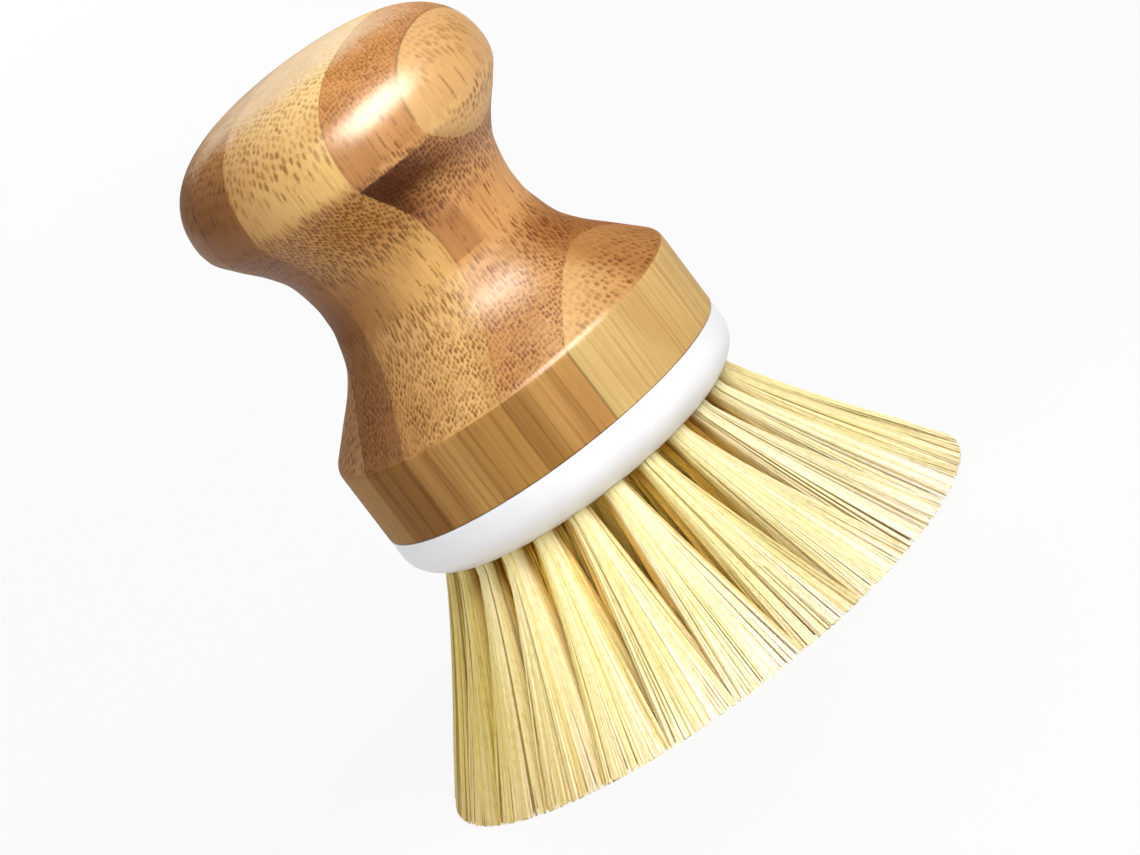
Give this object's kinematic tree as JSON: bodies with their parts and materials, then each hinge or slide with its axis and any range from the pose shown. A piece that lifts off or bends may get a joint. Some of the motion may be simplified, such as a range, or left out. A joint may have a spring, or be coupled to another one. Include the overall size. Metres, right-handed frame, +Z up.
{
  "type": "palm scrubbing brush",
  "caption": "Round palm brush for scrubbing vegetables and dishes: a turned bamboo knob, a white tuft plate under its foot and a flared skirt of plant-fibre tufts.",
  "frame": {"origin": "on the brush's axis, at the level of the trimmed bristle tips that it stands on", "axes": "+Z up along the turned handle; -Y is the side that faces the camera in the picture"},
  "size_m": [0.0816, 0.0816, 0.092],
  "materials": {
    "bamboo": "turned laminated bamboo under clear satin varnish",
    "white_plastic": "smooth white moulded plastic, satin gloss",
    "zinc_steel": "zinc-plated steel screw",
    "plant_fibre": "natural cream plant fibre, straight and stiff, tips trimmed level"
  },
  "bodies": {
    "root": {"handle": "bamboo", "bristle_plate": "white_plastic", "plate_screw_1": "zinc_steel", "plate_screw_2": "zinc_steel", "plate_screw_3": "zinc_steel", "tuft_outer_01": "plant_fibre", "tuft_outer_02": "plant_fibre", "tuft_outer_03": "plant_fibre", "tuft_outer_04": "plant_fibre", "tuft_outer_05": "plant_fibre", "tuft_outer_06": "plant_fibre", "tuft_outer_07": "plant_fibre", "tuft_outer_08": "plant_fibre", "tuft_outer_09": "plant_fibre", "tuft_outer_10": "plant_fibre", "tuft_outer_11": "plant_fibre", "tuft_outer_12": "plant_fibre", "tuft_outer_13": "plant_fibre", "tuft_outer_14": "plant_fibre", "tuft_outer_15": "plant_fibre", "tuft_outer_16": "plant_fibre", "tuft_outer_17": "plant_fibre", "tuft_outer_18": "plant_fibre", "tuft_outer_19": "plant_fibre", "tuft_outer_20": "plant_fibre", "tuft_outer_21": "plant_fibre", "tuft_outer_22": "plant_fibre", "tuft_outer_23": "plant_fibre", "tuft_outer_24": "plant_fibre", "tuft_second_01": "plant_fibre", "tuft_second_02": "plant_fibre", "tuft_second_03": "plant_fibre", "tuft_second_04": "plant_fibre", "tuft_second_05": "plant_fibre", "tuft_second_06": "plant_fibre", "tuft_second_07": "plant_fibre", "tuft_second_08": "plant_fibre", "tuft_second_09": "plant_fibre", "tuft_second_10": "plant_fibre", "tuft_second_11": "plant_fibre", "tuft_second_12": "plant_fibre", "tuft_second_13": "plant_fibre", "tuft_second_14": "plant_fibre", "tuft_second_15": "plant_fibre", "tuft_second_16": "plant_fibre", "tuft_second_17": "plant_fibre", "tuft_second_18": "plant_fibre", "tuft_third_02": "plant_fibre", "tuft_third_03": "plant_fibre", "tuft_third_04": "plant_fibre", "tuft_third_06": "plant_fibre", "tuft_third_07": "plant_fibre", "tuft_third_08": "plant_fibre", "tuft_third_10": "plant_fibre", "tuft_third_11": "plant_fibre", "tuft_third_12": "plant_fibre", "tuft_inner_01": "plant_fibre", "tuft_inner_02": "plant_fibre", "tuft_inner_03": "plant_fibre", "tuft_inner_04": "plant_fibre"}
  },
  "joints": []
}
